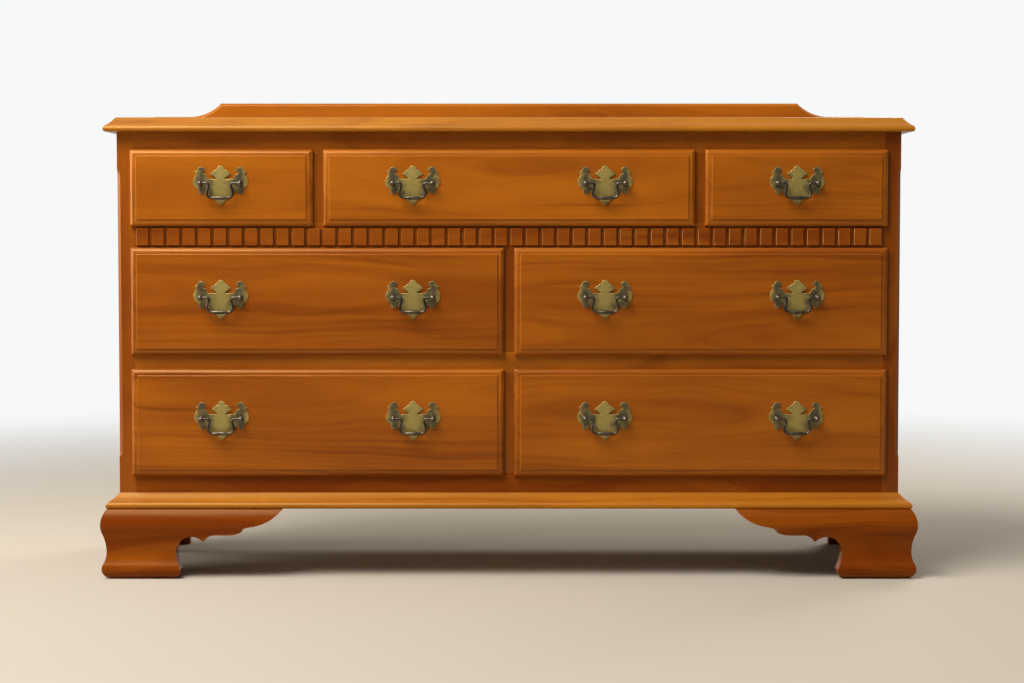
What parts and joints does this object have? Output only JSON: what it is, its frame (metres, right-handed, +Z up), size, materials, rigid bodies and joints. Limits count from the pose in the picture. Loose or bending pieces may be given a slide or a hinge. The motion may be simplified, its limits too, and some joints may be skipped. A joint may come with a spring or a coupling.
{
  "type": "low chest of drawers",
  "caption": "Low wide chest with lipped drawers that slide out, dentil band, moulded top with raised back gallery, ogee bracket feet and brass bail pulls that lift.",
  "frame": {"origin": "on the floor under the middle of the chest's bounding box", "axes": "+Z up, +X along the width to the right as seen from the front, +Y from the front to the back; drawers open towards -Y"},
  "size_m": [1.544, 0.4748, 0.9245],
  "materials": {
    "case_wood": "stained, satin varnish",
    "front_wood": "stained, satin varnish",
    "inner_wood": "planed, unfinished",
    "back_wood": "planed, unfinished",
    "plate_brass": "aged, satin",
    "bail_brass": "antique, darkened"
  },
  "bodies": {
    "case": {"top_board": "case_wood", "gallery_board": "case_wood", "left_side": "case_wood", "right_side": "case_wood", "left_stile": "case_wood", "right_stile": "case_wood", "top_rail": "case_wood", "dentil_rail": "case_wood", "dentil_moulding": "case_wood", "middle_rail": "case_wood", "bottom_rail": "case_wood", "drawer_dividers": "case_wood", "base_moulding": "case_wood", "front_left_foot": "case_wood", "front_right_foot": "case_wood", "rear_left_foot": "case_wood", "rear_right_foot": "case_wood", "drawer_runners": "inner_wood", "bottom_panel": "inner_wood", "back_panel": "back_wood"},
    "top_left_drawer": {"top_left_drawer_front": "front_wood", "top_left_drawer_box": "inner_wood", "top_left_pull_plates": "plate_brass", "top_left_pull_posts": "bail_brass"},
    "top_left_bail": {"top_left_bail": "bail_brass"},
    "top_centre_drawer": {"top_centre_drawer_front": "front_wood", "top_centre_drawer_box": "inner_wood", "top_centre_pull_plates": "plate_brass", "top_centre_pull_posts": "bail_brass"},
    "top_centre_left_bail": {"top_centre_left_bail": "bail_brass"},
    "top_centre_right_bail": {"top_centre_right_bail": "bail_brass"},
    "top_right_drawer": {"top_right_drawer_front": "front_wood", "top_right_drawer_box": "inner_wood", "top_right_pull_plates": "plate_brass", "top_right_pull_posts": "bail_brass"},
    "top_right_bail": {"top_right_bail": "bail_brass"},
    "middle_left_drawer": {"middle_left_drawer_front": "front_wood", "middle_left_drawer_box": "inner_wood", "middle_left_pull_plates": "plate_brass", "middle_left_pull_posts": "bail_brass"},
    "middle_left_left_bail": {"middle_left_left_bail": "bail_brass"},
    "middle_left_right_bail": {"middle_left_right_bail": "bail_brass"},
    "middle_right_drawer": {"middle_right_drawer_front": "front_wood", "middle_right_drawer_box": "inner_wood", "middle_right_pull_plates": "plate_brass", "middle_right_pull_posts": "bail_brass"},
    "middle_right_left_bail": {"middle_right_left_bail": "bail_brass"},
    "middle_right_right_bail": {"middle_right_right_bail": "bail_brass"},
    "bottom_left_drawer": {"bottom_left_drawer_front": "front_wood", "bottom_left_drawer_box": "inner_wood", "bottom_left_pull_plates": "plate_brass", "bottom_left_pull_posts": "bail_brass"},
    "bottom_left_left_bail": {"bottom_left_left_bail": "bail_brass"},
    "bottom_left_right_bail": {"bottom_left_right_bail": "bail_brass"},
    "bottom_right_drawer": {"bottom_right_drawer_front": "front_wood", "bottom_right_drawer_box": "inner_wood", "bottom_right_pull_plates": "plate_brass", "bottom_right_pull_posts": "bail_brass"},
    "bottom_right_left_bail": {"bottom_right_left_bail": "bail_brass"},
    "bottom_right_right_bail": {"bottom_right_right_bail": "bail_brass"}
  },
  "joints": [
    {"name": "top_left_drawer_slide", "type": "slide", "parent": "case", "child": "top_left_drawer", "axis": [0, -1, 0], "range_m": [0, 0.32]},
    {"name": "top_left_bail_hinge", "type": "hinge", "parent": "top_left_drawer", "child": "top_left_bail", "pos_m": [-0.542, -0.2324, 0.7475], "axis": [-1, 0, 0], "range_deg": [-12, 90]},
    {"name": "top_centre_drawer_slide", "type": "slide", "parent": "case", "child": "top_centre_drawer", "axis": [0, -1, 0], "range_m": [0, 0.32]},
    {"name": "top_centre_left_bail_hinge", "type": "hinge", "parent": "top_centre_drawer", "child": "top_centre_left_bail", "pos_m": [-0.181, -0.2324, 0.7475], "axis": [-1, 0, 0], "range_deg": [-12, 90]},
    {"name": "top_centre_right_bail_hinge", "type": "hinge", "parent": "top_centre_drawer", "child": "top_centre_right_bail", "pos_m": [0.181, -0.2324, 0.7475], "axis": [-1, 0, 0], "range_deg": [-12, 90]},
    {"name": "top_right_drawer_slide", "type": "slide", "parent": "case", "child": "top_right_drawer", "axis": [0, -1, 0], "range_m": [0, 0.32]},
    {"name": "top_right_bail_hinge", "type": "hinge", "parent": "top_right_drawer", "child": "top_right_bail", "pos_m": [0.542, -0.2324, 0.7475], "axis": [-1, 0, 0], "range_deg": [-12, 90]},
    {"name": "middle_left_drawer_slide", "type": "slide", "parent": "case", "child": "middle_left_drawer", "axis": [0, -1, 0], "range_m": [0, 0.32]},
    {"name": "middle_left_left_bail_hinge", "type": "hinge", "parent": "middle_left_drawer", "child": "middle_left_left_bail", "pos_m": [-0.543, -0.2324, 0.533], "axis": [-1, 0, 0], "range_deg": [-12, 90]},
    {"name": "middle_left_right_bail_hinge", "type": "hinge", "parent": "middle_left_drawer", "child": "middle_left_right_bail", "pos_m": [-0.181, -0.2324, 0.533], "axis": [-1, 0, 0], "range_deg": [-12, 90]},
    {"name": "middle_right_drawer_slide", "type": "slide", "parent": "case", "child": "middle_right_drawer", "axis": [0, -1, 0], "range_m": [0, 0.32]},
    {"name": "middle_right_left_bail_hinge", "type": "hinge", "parent": "middle_right_drawer", "child": "middle_right_left_bail", "pos_m": [0.181, -0.2324, 0.533], "axis": [-1, 0, 0], "range_deg": [-12, 90]},
    {"name": "middle_right_right_bail_hinge", "type": "hinge", "parent": "middle_right_drawer", "child": "middle_right_right_bail", "pos_m": [0.543, -0.2324, 0.533], "axis": [-1, 0, 0], "range_deg": [-12, 90]},
    {"name": "bottom_left_drawer_slide", "type": "slide", "parent": "case", "child": "bottom_left_drawer", "axis": [0, -1, 0], "range_m": [0, 0.32]},
    {"name": "bottom_left_left_bail_hinge", "type": "hinge", "parent": "bottom_left_drawer", "child": "bottom_left_left_bail", "pos_m": [-0.543, -0.2324, 0.304], "axis": [-1, 0, 0], "range_deg": [-12, 90]},
    {"name": "bottom_left_right_bail_hinge", "type": "hinge", "parent": "bottom_left_drawer", "child": "bottom_left_right_bail", "pos_m": [-0.181, -0.2324, 0.304], "axis": [-1, 0, 0], "range_deg": [-12, 90]},
    {"name": "bottom_right_drawer_slide", "type": "slide", "parent": "case", "child": "bottom_right_drawer", "axis": [0, -1, 0], "range_m": [0, 0.32]},
    {"name": "bottom_right_left_bail_hinge", "type": "hinge", "parent": "bottom_right_drawer", "child": "bottom_right_left_bail", "pos_m": [0.181, -0.2324, 0.304], "axis": [-1, 0, 0], "range_deg": [-12, 90]},
    {"name": "bottom_right_right_bail_hinge", "type": "hinge", "parent": "bottom_right_drawer", "child": "bottom_right_right_bail", "pos_m": [0.543, -0.2324, 0.304], "axis": [-1, 0, 0], "range_deg": [-12, 90]}
  ]
}
